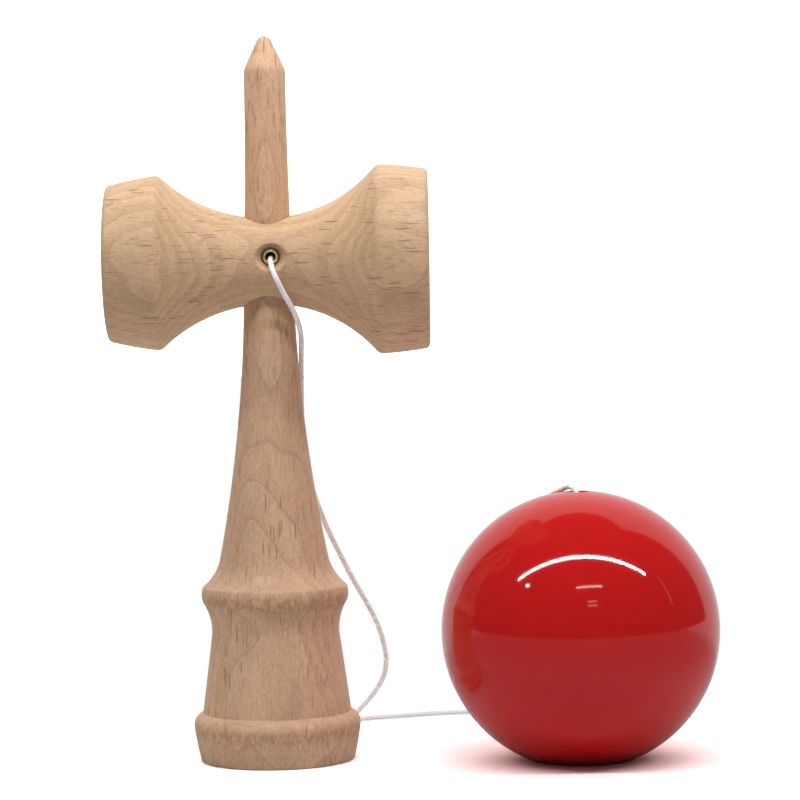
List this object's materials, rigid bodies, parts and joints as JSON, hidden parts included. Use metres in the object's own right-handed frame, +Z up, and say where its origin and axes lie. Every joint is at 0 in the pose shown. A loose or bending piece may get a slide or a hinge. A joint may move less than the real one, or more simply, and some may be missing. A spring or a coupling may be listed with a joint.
{
  "type": "cup and ball toy",
  "caption": "Turned wooden cup and ball toy: a spiked handle standing on its base cup, a cross piece with a big and a small cup on the spike, and a red lacquered ball on a string.",
  "frame": {"origin": "middle of the ken's foot, on the floor that it stands on", "axes": "+Z up along the spike, +X towards the big cup and the ball, -Y towards the string hole"},
  "size_m": [0.1308, 0.104, 0.1572],
  "materials": {
    "beech": "fine sanded and waxed",
    "brass": "polished",
    "red_lacquer": "gloss lacquer",
    "bead_wood": "plain",
    "string": "twisted white cord"
  },
  "bodies": {
    "ken": {"ken": "beech", "ken_knot": "string", "string_ken_run": "string", "string_hanging": "string", "string_floor": "string"},
    "sarado": {"sarado": "beech", "string_eyelet": "brass", "string_eyelet_run": "string"},
    "bead": {"ball_bead": "bead_wood", "bead_knot": "string", "string_ball_run": "string", "string_rise": "string"},
    "ball": {"ball": "red_lacquer"}
  },
  "joints": [
    {"name": "sarado_lift", "type": "slide", "parent": "ken", "child": "sarado", "axis": [0, 0, 1], "range_m": [0, 0.06]},
    {"name": "ball_lift", "type": "slide", "parent": "ken", "child": "bead", "axis": [0, 0, 1], "range_m": [0, 0.06]},
    {"name": "ball_swivel", "type": "hinge", "parent": "bead", "child": "ball", "pos_m": [0.066, -0.007, 0.0278], "axis": [0, 0, 1], "continuous": true}
  ]
}
